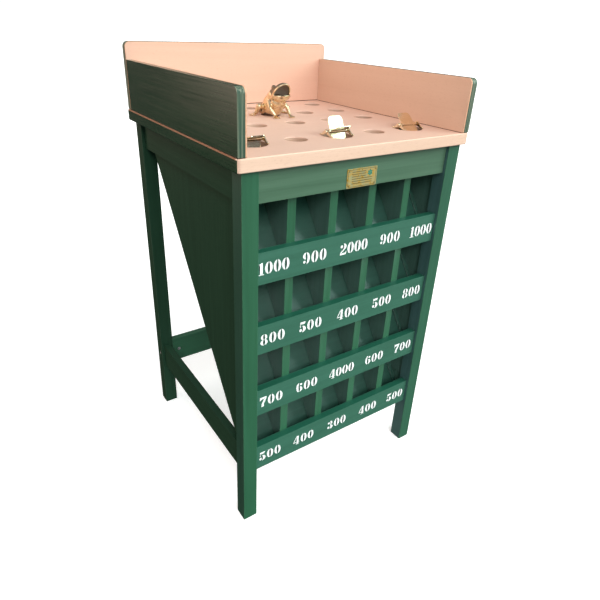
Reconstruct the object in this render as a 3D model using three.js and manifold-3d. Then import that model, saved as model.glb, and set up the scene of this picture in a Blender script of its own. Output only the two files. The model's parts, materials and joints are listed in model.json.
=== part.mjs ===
// Toad-in-the-hole coin game on a leg frame: a walled throwing deck with twenty targets above
// a cabinet of inclined chutes that drop each coin into a numbered tray at the front.
// Millimetres, +Z up. The origin is on the floor under the middle of the deck; the player
// stands on the -Y side and +X is to the player's right.

import * as THREE from 'three';
import { mergeVertices } from 'three/addons/utils/BufferGeometryUtils.js';
import Module from 'manifold-3d';

const wasm = await Module();
wasm.setup();

// ---------------------------------------------------------------- driving dimensions
const FIT = 0.3; // gap left between pieces that touch

const DECK_WIDTH = 580;
const DECK_DEPTH = 566;
const DECK_THICKNESS = 25;
const DECK_TOP = 887;
const DECK_CORNER_RADIUS = 8;
const DECK_RIM = 1.5; // strip of deck left outside the upstand boards

const BOARD = 18; // thickness of the upstands, aprons, rails and stretchers
const SIDE_BOARD_HEIGHT = 113;
const BACK_BOARD_HEIGHT = 152;
const UPSTAND_CORNER_RADIUS = 12;

const LEG = 35;
const LEG_SIDE_INSET = 12;
const FRONT_LEG_INSET = 8.5;
const REAR_LEG_INSET = 14;
const FACE_RECESS = 7.5; // front rails and front apron stand back from the leg faces
const APRON_HEIGHT = 63;

const RAIL_HEIGHT = 68;
const RAIL_PITCH = 163.5;
const LOWEST_RAIL = 143;
const STRETCHER_HEIGHT = 70;
const STRETCHER_BOTTOM = 141;
const REAR_STRETCHER_HEIGHT = 77;

const COLUMN_PITCH = 103;
const COLUMNS = [-2, -1, 0, 1, 2];
const TRAY_ROWS = [0, 1, 2, 3]; // row 0 is the highest tray
const HOLE_PITCH = 102;
const HOLE_ROWS = [99, 256, 368, 480]; // distance of each row of targets from the front edge
const HOLE_SHIFTS = [-5, -3, -1, 0]; // the drilling template sits slightly askew
const HOLE_DIAMETER = 46;
const WELL_DIAMETER = 65; // wider holes under the turning mills
const HOLE_SIDES = 28; // flats round each target hole

const DIVIDER = 20;
const PLY = 6;
const CHUTE_ANGLE = THREE.MathUtils.degToRad(55);
const SIDE_PANEL = 8;
const SIDE_PANEL_OUTSIDE = 256.5;
const CLEAT = 10;
const CLEAT_GAP = 2.5;

const AXLE_HEIGHT = 8; // above the deck
const BLADE_RADIUS = 31;
const BLADE_WIDTH = 37;
const BLADE_THICKNESS = 1.6;
const BLADE_CORNER = 9;
const BLADE_ANGLES = [0, 90, 180]; // from upright towards the player: a full sheet and one half blade
const HUB_RADIUS = 4.2;
const PIN_RADIUS = 2.2;
const PIN_KNOB = 4.5;
const BRACKET_OFFSET = 27.5;
const BRACKET_THICKNESS = 2.4;
const BRACKET_FOOT = 15;
const MILL_TURNS = { left: -69, centre: 26, right: 227 }; // rest turn of each mill, degrees

const BOLT_RADIUS = 3;
const BOLT_HEAD_RADIUS = 6.5;
const BARREL_RADIUS = 5;
const BARREL_LENGTH = 14;
const BARREL_INSET = 22; // from the end of the stretcher to the barrel nut

// ---------------------------------------------------------------- derived places
const FRONT = -DECK_DEPTH / 2;
const BACK = DECK_DEPTH / 2;
const DECK_UNDERSIDE = DECK_TOP - DECK_THICKNESS;
const FRAME_TOP = DECK_UNDERSIDE - FIT;
const LEG_OUTSIDE = DECK_WIDTH / 2 - LEG_SIDE_INSET;
const LEG_INSIDE = LEG_OUTSIDE - LEG;
const FRONT_LEG_FACE = FRONT + FRONT_LEG_INSET;
const FRONT_LEG_BACK = FRONT_LEG_FACE + LEG;
const REAR_LEG_BACK = BACK - REAR_LEG_INSET;
const REAR_LEG_FACE = REAR_LEG_BACK - LEG;
const RAIL_FACE = FRONT_LEG_FACE + FACE_RECESS;
const RAIL_BACK = RAIL_FACE + BOARD;
const SIDE_RAIL_OUTSIDE = LEG_OUTSIDE - (LEG - BOARD) / 2;
const REAR_RAIL_FACE = REAR_LEG_FACE + (LEG - BOARD) / 2;
const APRON_BOTTOM = DECK_UNDERSIDE - APRON_HEIGHT;
const STRETCHER_TOP = STRETCHER_BOTTOM + STRETCHER_HEIGHT;
const SIDE_PANEL_INSIDE = SIDE_PANEL_OUTSIDE - SIDE_PANEL;
const CRATE_FRONT = RAIL_BACK + FIT;
const CRATE_BACK = REAR_RAIL_FACE - FIT;
const CHUTE_SLOPE = Math.tan(CHUTE_ANGLE);
const PLY_RISE = PLY / Math.cos(CHUTE_ANGLE); // thickness of a sloping floor measured upright
const FLOOR_HALF_WIDTH = SIDE_PANEL_INSIDE - FIT - CLEAT - CLEAT_GAP;
const DIVIDER_PLACES = [-1.5, -0.5, 0.5, 1.5].map((step) => step * COLUMN_PITCH);
const holeX = (row, column) => HOLE_SHIFTS[row] + column * HOLE_PITCH;
const holeY = (row) => FRONT + HOLE_ROWS[row];

const railBottom = (row) => LOWEST_RAIL + (3 - row) * RAIL_PITCH;
const floorTop = (row, y) => railBottom(row) + (y - RAIL_BACK) * CHUTE_SLOPE;
const floorReach = (row, z) => RAIL_BACK + (z - railBottom(row)) / CHUTE_SLOPE;

// ---------------------------------------------------------------- materials
const paint = (color, roughness, metalness = 0) => () =>
  new THREE.MeshStandardMaterial({ color, roughness, metalness });
const greenPaint = paint(0x2f6b4c, 0.45);
const bareWood = paint(0xe9c2a4, 0.6);
const brass = paint(0xd8b45a, 0.22, 1);
const steel = paint(0xb9bcc0, 0.35, 1);

// ---------------------------------------------------------------- helpers
const object = new THREE.Group();

function place(name, geometry, material, parent = object) {
  const mesh = new THREE.Mesh(geometry, material());
  mesh.name = name;
  parent.add(mesh);
  return mesh;
}

// A box between two corners, given as ranges along x, y and z.
function block([x0, x1], [y0, y1], [z0, z1]) {
  const geometry = new THREE.BoxGeometry(x1 - x0, y1 - y0, z1 - z0);
  return geometry.translate((x0 + x1) / 2, (y0 + y1) / 2, (z0 + z1) / 2);
}

// A plate whose outline lies in the y-z plane, thickened along x from xStart.
function uprightPlate(shape, xStart, thickness, curveSegments = 6) {
  const geometry = new THREE.ExtrudeGeometry(shape, { depth: thickness, bevelEnabled: false, curveSegments });
  const sideways = new THREE.Matrix4().makeBasis(
    new THREE.Vector3(0, 1, 0),
    new THREE.Vector3(0, 0, 1),
    new THREE.Vector3(1, 0, 0),
  );
  return geometry.applyMatrix4(sideways).translate(xStart, 0, 0);
}

function outline(points) {
  return new THREE.Shape(points.map(([a, b]) => new THREE.Vector2(a, b)));
}

// A cylinder lying along one axis, centred on a point.
function rod(axis, radius, length, [x, y, z], sides = 20) {
  const geometry = new THREE.CylinderGeometry(radius, radius, length, sides);
  if (axis === 'x') geometry.rotateZ(Math.PI / 2);
  if (axis === 'z') geometry.rotateX(Math.PI / 2);
  return geometry.translate(x, y, z);
}

function toSolid(geometry) {
  const bare = geometry.clone();
  bare.deleteAttribute('normal');
  bare.deleteAttribute('uv');
  const merged = mergeVertices(bare, 1e-3);
  return new wasm.Manifold(new wasm.Mesh({
    numProp: 3,
    vertProperties: new Float32Array(merged.attributes.position.array),
    triVerts: new Uint32Array(merged.index.array),
  }));
}

function toGeometry(solid) {
  const mesh = solid.getMesh();
  const geometry = new THREE.BufferGeometry();
  geometry.setAttribute('position', new THREE.BufferAttribute(new Float32Array(mesh.vertProperties), 3));
  geometry.setIndex(new THREE.BufferAttribute(new Uint32Array(mesh.triVerts), 1));
  geometry.computeVertexNormals();
  return geometry;
}

const join = (geometries) => geometries.map(toSolid).reduce((whole, part) => whole.add(part));

function cut(geometry, cutters) {
  const rest = cutters.map(toSolid).reduce((solid, cutter) => solid.subtract(cutter), toSolid(geometry));
  return toGeometry(rest);
}

// ---------------------------------------------------------------- deck and upstand boards
function deck() {
  const half = DECK_WIDTH / 2;
  const shape = new THREE.Shape();
  shape.moveTo(half, BACK);
  shape.lineTo(-half, BACK);
  shape.lineTo(-half, FRONT + DECK_CORNER_RADIUS);
  shape.absarc(-half + DECK_CORNER_RADIUS, FRONT + DECK_CORNER_RADIUS, DECK_CORNER_RADIUS, Math.PI, 1.5 * Math.PI);
  shape.absarc(half - DECK_CORNER_RADIUS, FRONT + DECK_CORNER_RADIUS, DECK_CORNER_RADIUS, -Math.PI / 2, 0);
  for (const row of HOLE_ROWS.keys()) {
    for (const column of COLUMNS) {
      const well = row === 0 && column % 2 === 0;
      const hole = new THREE.Path();
      const radius = (well ? WELL_DIAMETER : HOLE_DIAMETER) / 2;
      hole.absarc(holeX(row, column), holeY(row), radius, 0, 2 * Math.PI);
      shape.holes.push(hole);
    }
  }
  const settings = { depth: DECK_THICKNESS, bevelEnabled: false, curveSegments: HOLE_SIDES / 2 };
  return new THREE.ExtrudeGeometry(shape, settings).translate(0, 0, DECK_UNDERSIDE);
}

function sideBoard(side) {
  const front = FRONT + DECK_RIM;
  const back = BACK - DECK_RIM - BOARD - FIT;
  const bottom = DECK_TOP + FIT;
  const top = DECK_TOP + SIDE_BOARD_HEIGHT;
  const radius = UPSTAND_CORNER_RADIUS;
  const shape = new THREE.Shape();
  shape.moveTo(front, bottom);
  shape.lineTo(back, bottom);
  shape.lineTo(back, top);
  shape.lineTo(front + radius, top);
  shape.absarc(front + radius, top - radius, radius, Math.PI / 2, Math.PI);
  const outside = side * (DECK_WIDTH / 2 - DECK_RIM);
  return uprightPlate(shape, Math.min(outside, outside - side * BOARD), BOARD);
}

function backBoard() {
  const half = DECK_WIDTH / 2 - DECK_RIM;
  const bottom = DECK_TOP + FIT;
  const top = DECK_TOP + BACK_BOARD_HEIGHT;
  const radius = UPSTAND_CORNER_RADIUS;
  const shape = new THREE.Shape();
  shape.moveTo(-half, bottom);
  shape.lineTo(half, bottom);
  shape.lineTo(half, top - radius);
  shape.absarc(half - radius, top - radius, radius, 0, Math.PI / 2);
  shape.absarc(-half + radius, top - radius, radius, Math.PI / 2, Math.PI);
  const geometry = new THREE.ExtrudeGeometry(shape, { depth: BOARD, bevelEnabled: false, curveSegments: 6 });
  return geometry.rotateX(Math.PI / 2).translate(0, BACK - DECK_RIM, 0);
}

// ---------------------------------------------------------------- leg frame
const BOLT_LEVEL = { across: STRETCHER_BOTTOM + 38, along: STRETCHER_BOTTOM + 14 };
const HEAD_SEAT = 8; // depth of the counterbore that hides a bolt head

function rearLeg(side) {
  const middleX = side * (LEG_INSIDE + LEG / 2);
  const middleY = REAR_LEG_FACE + LEG / 2;
  const leg = block(
    [middleX - LEG / 2, middleX + LEG / 2],
    [REAR_LEG_FACE, REAR_LEG_BACK],
    [0, FRAME_TOP],
  );
  const seatX = side * (LEG_OUTSIDE - HEAD_SEAT / 2 + 1);
  const seatY = REAR_LEG_BACK - HEAD_SEAT / 2 + 1;
  return cut(leg, [
    rod('x', BOLT_RADIUS + FIT, LEG + 4, [middleX, middleY, BOLT_LEVEL.across]),
    rod('x', BOLT_HEAD_RADIUS + FIT, HEAD_SEAT + 2, [seatX, middleY, BOLT_LEVEL.across]),
    rod('y', BOLT_RADIUS + FIT, LEG + 4, [middleX, middleY, BOLT_LEVEL.along]),
    rod('y', BOLT_HEAD_RADIUS + FIT, HEAD_SEAT + 2, [middleX, seatY, BOLT_LEVEL.along]),
  ]);
}

function frontLeg(side) {
  const xs = [side * LEG_INSIDE, side * LEG_OUTSIDE].sort((a, b) => a - b);
  return block(xs, [FRONT_LEG_FACE, FRONT_LEG_BACK], [0, FRAME_TOP]);
}

const sideRun = [FRONT_LEG_BACK + FIT, REAR_LEG_FACE - FIT];
const crossRun = [-LEG_INSIDE + FIT, LEG_INSIDE - FIT];

function sideStretcher(side) {
  const xs = [side * SIDE_RAIL_OUTSIDE, side * (SIDE_RAIL_OUTSIDE - BOARD)].sort((a, b) => a - b);
  const middle = side * (SIDE_RAIL_OUTSIDE - BOARD / 2);
  const nutY = sideRun[1] - BARREL_INSET;
  const insideFace = side * (SIDE_RAIL_OUTSIDE - BOARD);
  return cut(block(xs, sideRun, [STRETCHER_BOTTOM, STRETCHER_TOP]), [
    rod('y', BOLT_RADIUS + FIT, 80, [middle, sideRun[1], BOLT_LEVEL.along]),
    rod('x', BARREL_RADIUS + FIT, 2 * (BARREL_LENGTH + FIT), [insideFace, nutY, BOLT_LEVEL.along]),
  ]);
}

function rearStretcher() {
  const middle = REAR_RAIL_FACE + BOARD / 2;
  const levels = [STRETCHER_BOTTOM, STRETCHER_BOTTOM + REAR_STRETCHER_HEIGHT];
  const bores = [-1, 1].flatMap((side) => {
    const end = side * crossRun[1];
    const nutX = end - side * BARREL_INSET;
    return [
      rod('x', BOLT_RADIUS + FIT, 80, [end, middle, BOLT_LEVEL.across]),
      rod('y', BARREL_RADIUS + FIT, 2 * (BARREL_LENGTH + FIT), [nutX, REAR_RAIL_FACE, BOLT_LEVEL.across]),
    ];
  });
  return cut(block(crossRun, [REAR_RAIL_FACE, REAR_RAIL_FACE + BOARD], levels), bores);
}

// Socket-head bolt along +x with its head at the origin end; turned into place by the caller.
function bolt() {
  const shank = LEG - HEAD_SEAT + BARREL_INSET + 12;
  const profile = [
    [0, 0], [BOLT_HEAD_RADIUS, 0], [BOLT_HEAD_RADIUS, HEAD_SEAT - 2],
    [BOLT_RADIUS, HEAD_SEAT - 2], [BOLT_RADIUS, HEAD_SEAT - 2 + shank], [0, HEAD_SEAT - 2 + shank],
  ];
  const body = new THREE.LatheGeometry(profile.map(([r, h]) => new THREE.Vector2(r, h)), 20);
  const socket = new THREE.CylinderGeometry(2.8, 2.8, 6, 6);
  return cut(body, [socket]);
}

// Barrel nut along +y with its slotted end at the origin and a cross hole for the bolt.
function barrelNut() {
  const barrel = new THREE.CylinderGeometry(BARREL_RADIUS, BARREL_RADIUS, BARREL_LENGTH, 20);
  barrel.translate(0, BARREL_LENGTH / 2, 0);
  const crossHole = rod('x', BOLT_RADIUS + FIT, 3 * BARREL_RADIUS, [0, BOARD / 2, 0]);
  const slot = new THREE.BoxGeometry(3 * BARREL_RADIUS, 2.4, 1.6);
  return cut(barrel, [crossHole, slot]);
}

function fasteners() {
  const middleY = REAR_RAIL_FACE + BOARD / 2;
  for (const [label, side] of [['left', -1], ['right', 1]]) {
    const middleX = side * (SIDE_RAIL_OUTSIDE - BOARD / 2);
    const across = place(`rear_stretcher_bolt_${label}`, bolt(), steel);
    across.rotation.z = side * Math.PI / 2;
    across.position.set(side * (LEG_OUTSIDE - 1), middleY, BOLT_LEVEL.across);
    const along = place(`${label}_stretcher_bolt`, bolt(), steel);
    along.rotation.z = Math.PI;
    along.position.set(middleX, REAR_LEG_BACK - 1, BOLT_LEVEL.along);
    const acrossNut = place(`rear_stretcher_nut_${label}`, barrelNut(), steel);
    acrossNut.position.set(side * (crossRun[1] - BARREL_INSET), REAR_RAIL_FACE, BOLT_LEVEL.across);
    const alongNut = place(`${label}_stretcher_nut`, barrelNut(), steel);
    alongNut.rotation.z = -side * Math.PI / 2;
    alongNut.position.set(side * (SIDE_RAIL_OUTSIDE - BOARD), sideRun[1] - BARREL_INSET, BOLT_LEVEL.along);
  }
}

function legFrame() {
  for (const [label, side] of [['left', -1], ['right', 1]]) {
    place(`front_${label}_leg`, frontLeg(side), greenPaint);
    place(`rear_${label}_leg`, rearLeg(side), greenPaint);
    const xs = [side * SIDE_RAIL_OUTSIDE, side * (SIDE_RAIL_OUTSIDE - BOARD)].sort((a, b) => a - b);
    place(`${label}_apron`, block(xs, sideRun, [APRON_BOTTOM, FRAME_TOP]), greenPaint);
    place(`${label}_stretcher`, sideStretcher(side), greenPaint);
  }
  place('front_apron', block(crossRun, [RAIL_FACE, RAIL_BACK], [APRON_BOTTOM, FRAME_TOP]), greenPaint);
  const rearRun = [REAR_RAIL_FACE, REAR_RAIL_FACE + BOARD];
  place('rear_apron', block(crossRun, rearRun, [APRON_BOTTOM, FRAME_TOP]), greenPaint);
  place('rear_stretcher', rearStretcher(), greenPaint);
  for (const row of TRAY_ROWS) {
    const levels = [railBottom(row), railBottom(row) + RAIL_HEIGHT];
    place(`score_rail_${row + 1}`, block(crossRun, [RAIL_FACE, RAIL_BACK], levels), greenPaint);
  }
}

// ---------------------------------------------------------------- chutes
// Run of a floor along its slope, from the rail to the deck or, for the last, to the rear apron.
function floorRun(row) {
  const tilt = PLY * Math.sin(CHUTE_ANGLE);
  const deckEnd = floorReach(row, FRAME_TOP);
  const end = Math.min(deckEnd, CRATE_BACK - tilt);
  return (end - CRATE_FRONT) / Math.cos(CHUTE_ANGLE);
}

// Floors 1 to 3 are slotted over their upper half, where the dividers pass through them.
function chuteFloor(row) {
  const run = floorRun(row);
  const slotHalf = DIVIDER / 2 + FIT;
  const points = [[-FLOOR_HALF_WIDTH, run], [-FLOOR_HALF_WIDTH, 0], [FLOOR_HALF_WIDTH, 0], [FLOOR_HALF_WIDTH, run]];
  if (row < 3) {
    for (const x of DIVIDER_PLACES.toReversed()) {
      points.push([x + slotHalf, run], [x + slotHalf, run / 2], [x - slotHalf, run / 2], [x - slotHalf, run]);
    }
  }
  const geometry = new THREE.ExtrudeGeometry(outline(points), { depth: PLY, bevelEnabled: false });
  return geometry.translate(0, 0, -PLY);
}

// Each divider is a slanting-backed board, notched from its front edge for floors 1 to 3.
function dividerShape() {
  const backBottom = floorTop(3, CRATE_FRONT) + FIT / Math.cos(CHUTE_ANGLE);
  const points = [
    [CRATE_FRONT, backBottom],
    [CRATE_BACK, backBottom + (CRATE_BACK - CRATE_FRONT) * CHUTE_SLOPE],
    [CRATE_BACK, FRAME_TOP],
    [CRATE_FRONT, FRAME_TOP],
  ];
  for (const row of [0, 1, 2]) {
    const notchEnd = CRATE_FRONT + (floorRun(row) / 2) * Math.cos(CHUTE_ANGLE) - FIT;
    const upper = (y) => floorTop(row, y) + FIT / Math.cos(CHUTE_ANGLE);
    const lower = (y) => upper(y) - PLY_RISE - 2 * FIT / Math.cos(CHUTE_ANGLE);
    const inner = notchEnd + PLY;
    points.push([CRATE_FRONT, upper(CRATE_FRONT)], [inner, upper(inner)], [inner, lower(inner)]);
    points.push([CRATE_FRONT, lower(CRATE_FRONT)]);
  }
  return outline(points);
}

function sidePanelShape() {
  const edge = (z) => floorReach(3, z + PLY_RISE);
  const front = FRONT_LEG_BACK + FIT;
  const bottom = STRETCHER_TOP + FIT;
  const top = APRON_BOTTOM - FIT;
  return outline([[front, bottom], [edge(bottom), bottom], [edge(top), top], [front, top]]);
}

function chutes() {
  const slopes = TRAY_ROWS.map((row) => {
    const slope = new THREE.Group();
    slope.position.set(0, CRATE_FRONT, floorTop(row, CRATE_FRONT));
    slope.rotation.x = CHUTE_ANGLE;
    object.add(slope);
    place(`chute_floor_${row + 1}`, chuteFloor(row), greenPaint, slope);
    return slope;
  });
  DIVIDER_PLACES.forEach((x, i) => {
    place(`lane_divider_${i + 1}`, uprightPlate(dividerShape(), x - DIVIDER / 2, DIVIDER), greenPaint);
  });
  const cleatStart = (FRONT_LEG_BACK + FIT - CRATE_FRONT) / Math.cos(CHUTE_ANGLE);
  const rearLegRun = (REAR_LEG_FACE - FIT - PLY - CRATE_FRONT) / Math.cos(CHUTE_ANGLE);
  for (const [label, side] of [['left', -1], ['right', 1]]) {
    const outside = side * SIDE_PANEL_OUTSIDE;
    const start = Math.min(outside, outside - side * SIDE_PANEL);
    place(`chute_side_${label}`, uprightPlate(sidePanelShape(), start, SIDE_PANEL), greenPaint);
    const cleatOutside = side * (SIDE_PANEL_INSIDE - FIT);
    const xs = [cleatOutside, cleatOutside - side * CLEAT].sort((a, b) => a - b);
    for (const row of TRAY_ROWS) {
      const cleatEnd = Math.min(floorRun(row), rearLegRun);
      const cleat = block(xs, [cleatStart, cleatEnd], [-PLY, 0]);
      place(`slope_cleat_${label}_${row + 1}`, cleat, greenPaint, slopes[row]);
    }
  }
}

// ---------------------------------------------------------------- mills
// Blade outline: root at the hub, outer corners rounded.
function bladeShape() {
  const half = BLADE_WIDTH / 2;
  const shape = new THREE.Shape();
  shape.moveTo(-half, 0);
  shape.lineTo(half, 0);
  shape.lineTo(half, BLADE_RADIUS - BLADE_CORNER);
  shape.absarc(half - BLADE_CORNER, BLADE_RADIUS - BLADE_CORNER, BLADE_CORNER, 0, Math.PI / 2);
  shape.absarc(-half + BLADE_CORNER, BLADE_RADIUS - BLADE_CORNER, BLADE_CORNER, Math.PI / 2, Math.PI);
  return shape;
}

function rotor() {
  const blades = BLADE_ANGLES.map((angle) => {
    const settings = { depth: BLADE_THICKNESS, bevelEnabled: false, curveSegments: 5 };
    const blade = new THREE.ExtrudeGeometry(bladeShape(), settings);
    blade.translate(0, 0, -BLADE_THICKNESS / 2).rotateX(THREE.MathUtils.degToRad(90 + angle));
    return blade;
  });
  const hub = rod('x', HUB_RADIUS, BLADE_WIDTH + 8, [0, 0, 0], 16);
  const bore = rod('x', PIN_RADIUS + FIT, BLADE_WIDTH + 20, [0, 0, 0], 16);
  return toGeometry(join([hub, ...blades]).subtract(toSolid(bore)));
}

// Bent-strip bracket: two splayed legs that meet at the pin and end in flat feet.
function bracketShape() {
  const eye = 5;
  const strip = 2.6;
  const footTip = BRACKET_FOOT + 6;
  const half = [
    [BRACKET_FOOT - strip, 0], [footTip, 0], [footTip, strip - 0.8], [BRACKET_FOOT + 1, strip - 0.8],
    [eye, AXLE_HEIGHT + eye * 0.55],
  ];
  const mirrored = half.toReversed().map(([y, z]) => [-y, z]);
  const crown = [[eye * 0.55, AXLE_HEIGHT + eye], [-eye * 0.55, AXLE_HEIGHT + eye]];
  const inside = [[-eye * 0.8, AXLE_HEIGHT - eye], [eye * 0.8, AXLE_HEIGHT - eye]];
  const shape = outline([...half, ...crown, ...mirrored, ...inside]);
  const hole = new THREE.Path();
  hole.absarc(0, AXLE_HEIGHT, PIN_RADIUS + FIT, 0, 2 * Math.PI);
  shape.holes.push(hole);
  return shape;
}

function pin() {
  const half = BRACKET_OFFSET + BRACKET_THICKNESS / 2 + FIT;
  const knob = PIN_KNOB;
  const profile = [
    [0, -half - 3], [knob - 0.8, -half - 3], [knob, -half - 2.2], [knob, -half], [PIN_RADIUS, -half],
    [PIN_RADIUS, half], [knob, half], [knob, half + 2.2], [knob - 0.8, half + 3], [0, half + 3],
  ];
  return new THREE.LatheGeometry(profile.map(([r, h]) => new THREE.Vector2(r, h)), 14).rotateZ(Math.PI / 2);
}

function mills() {
  ['left', 'centre', 'right'].forEach((label, i) => {
    const mill = new THREE.Group();
    mill.position.set(holeX(0, 2 * (i - 1)), holeY(0), DECK_TOP + FIT);
    object.add(mill);
    for (const [end, side] of [['left', -1], ['right', 1]]) {
      const start = side * BRACKET_OFFSET - BRACKET_THICKNESS / 2;
      const bracket = uprightPlate(bracketShape(), start, BRACKET_THICKNESS, 8);
      place(`${label}_mill_bracket_${end}`, bracket, brass, mill);
    }
    place(`${label}_mill_pin`, pin(), brass, mill).position.z = AXLE_HEIGHT;
    const wheel = place(`${label}_mill_rotor`, rotor(), brass, mill);
    wheel.position.z = AXLE_HEIGHT;
    wheel.rotation.x = THREE.MathUtils.degToRad(-MILL_TURNS[label]);
  });
}

// ---------------------------------------------------------------- frog
// Cast frog sitting over its hole with its jaws wide open to a hollow throat. The jaws are
// halves of ellipsoids that meet at the corners of the mouth.
const MOUTH_CENTRE = [0.5, -44, 50];
const GAPE = THREE.MathUtils.degToRad(57);
const JAW_WALL = 4;
const THROAT_WIDTH = 40; // a coin slides through flat
const THROAT_DEPTH = 31;
const THROAT_TILT = THREE.MathUtils.degToRad(31);

function ball([x, y, z], [rx, ry, rz], tilt = 0, turns = 14) {
  const geometry = new THREE.SphereGeometry(1, turns, Math.round(turns * 0.6));
  return geometry.scale(rx, ry, rz).rotateX(tilt).translate(x, y, z);
}

// A tapering limb with round ends between two points.
function limb(from, to, startRadius, endRadius) {
  const a = new THREE.Vector3(...from);
  const b = new THREE.Vector3(...to);
  const length = a.distanceTo(b);
  const shaft = new THREE.CylinderGeometry(endRadius, startRadius, length, 7);
  const turn = new THREE.Quaternion().setFromUnitVectors(
    new THREE.Vector3(0, 1, 0),
    b.clone().sub(a).normalize(),
  );
  const middle = a.clone().add(b).multiplyScalar(0.5);
  shaft.applyQuaternion(turn).translate(middle.x, middle.y, middle.z);
  const ends = [[from, startRadius], [to, endRadius]];
  return [shaft, ...ends.map(([centre, radius]) => ball(centre, [radius, radius, radius], 0, 7))];
}

function frogLimbs(side) {
  return [
    ...limb([side * 18, -24, 31], [side * 24, -37, 21], 9, 5.5),
    ...limb([side * 24, -37, 21], [side * 20 + 4, -50, 4], 5, 3.6),
    ball([side * 22 + 7, -55, 1.6], [8, 8, 3], 0, 8),
    ...limb([side * 17, 14, 14], [side * 35, -4, 20], 12, 8),
    ...limb([side * 35, -4, 20], [side * 32, 13, 5], 7, 4.5),
    ...limb([side * 31, 12, 4], [side * 44, 5, 3], 4.5, 3.4),
    ball([side * 46, 4, 1.6], [8, 8, 3], 0, 8),
    ball([side * 12, -33, 65.5], [6.5, 7, 7], 0, 8),
  ];
}

// One jaw, or the hollow in it: the half of an ellipsoid above (1) or below (-1) the mouth line.
function jaw(radii, side) {
  const away = block([-60, 60], [-60, 60], side > 0 ? [-60, 0] : [0, 60]);
  const half = cut(ball([0, 0, 0], radii), [away]);
  if (side > 0) half.rotateX(-GAPE);
  return half.translate(...MOUTH_CENTRE);
}

// The oval passage that runs down and back from the mouth to the hole in the deck.
function throat() {
  const length = 70;
  const passage = new THREE.CylinderGeometry(THROAT_WIDTH / 2, THROAT_WIDTH / 2, length, 20);
  passage.scale(1, 1, THROAT_DEPTH / THROAT_WIDTH).translate(0, -length / 2, 0);
  return passage.rotateX(Math.PI / 2 + THROAT_TILT).translate(0, -32, 46);
}

function frog() {
  const leaning = THREE.MathUtils.degToRad(37);
  const upper = [24, 32, 19];
  const lower = [24, 18, 15];
  const hollow = (radii) => radii.map((radius) => radius - JAW_WALL);
  const masses = [
    ball([0, -12, 25], [26, 26, 34], leaning),
    ball([0, -28, 47], [23, 19, 19]),
    ball([0, 6, 13], [26, 25, 17]),
    jaw(upper, 1),
    jaw(lower, -1),
    ...[-1, 1].flatMap(frogLimbs),
  ];
  const cavities = [
    jaw(hollow(upper), 1),
    jaw(hollow(lower), -1),
    throat(),
    block([-90, 90], [-110, 110], [-60, 0]),
  ];
  return toGeometry(cavities.map(toSolid).reduce((solid, cavity) => solid.subtract(cavity), join(masses)));
}

// ---------------------------------------------------------------- assembly
const PLATE = { width: 78, height: 39, thickness: 1.2 };

place('top_board', deck(), bareWood);
place('left_side_board', sideBoard(-1), bareWood);
place('right_side_board', sideBoard(1), bareWood);
place('back_board', backBoard(), bareWood);
legFrame();
fasteners();
chutes();
mills();
place('frog', frog(), brass).position.set(holeX(2, 0), holeY(2), DECK_TOP + FIT);
const plateFace = RAIL_FACE - FIT;
place('front_plate', block(
  [-PLATE.width / 2, PLATE.width / 2],
  [plateFace - PLATE.thickness, plateFace],
  [APRON_BOTTOM + 0.5, APRON_BOTTOM + 0.5 + PLATE.height],
), brass);

export default object;
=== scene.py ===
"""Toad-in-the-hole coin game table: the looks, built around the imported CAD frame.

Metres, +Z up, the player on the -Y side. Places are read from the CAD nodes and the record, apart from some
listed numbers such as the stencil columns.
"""

import json
import math
from functools import cache

import bmesh
import bpy
from mathutils import Matrix, Vector


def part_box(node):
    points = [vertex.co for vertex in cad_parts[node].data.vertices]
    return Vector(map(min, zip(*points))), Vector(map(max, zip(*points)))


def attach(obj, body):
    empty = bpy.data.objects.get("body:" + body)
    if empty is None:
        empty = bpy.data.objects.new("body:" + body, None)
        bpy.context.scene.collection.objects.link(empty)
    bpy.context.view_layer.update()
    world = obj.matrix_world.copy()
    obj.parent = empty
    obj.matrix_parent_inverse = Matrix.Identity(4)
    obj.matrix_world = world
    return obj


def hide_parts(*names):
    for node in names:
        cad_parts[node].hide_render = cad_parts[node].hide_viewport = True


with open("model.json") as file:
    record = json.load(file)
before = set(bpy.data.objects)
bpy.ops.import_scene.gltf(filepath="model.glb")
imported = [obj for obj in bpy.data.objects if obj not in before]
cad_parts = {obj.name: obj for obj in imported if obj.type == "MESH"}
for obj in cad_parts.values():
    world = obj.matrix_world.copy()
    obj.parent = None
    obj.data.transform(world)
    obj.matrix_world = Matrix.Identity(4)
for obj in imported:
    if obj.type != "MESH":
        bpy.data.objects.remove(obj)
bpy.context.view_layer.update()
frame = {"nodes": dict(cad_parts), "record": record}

NODES = frame["nodes"]
MM = 0.001
MAIN_BODY = "frame"
MILLS = ("left", "centre", "right")
# sockets of a Mix node that blends two colours
MIX_FACTOR, MIX_FIRST, MIX_SECOND, MIX_COLOUR = 0, 6, 7, 2


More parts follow.
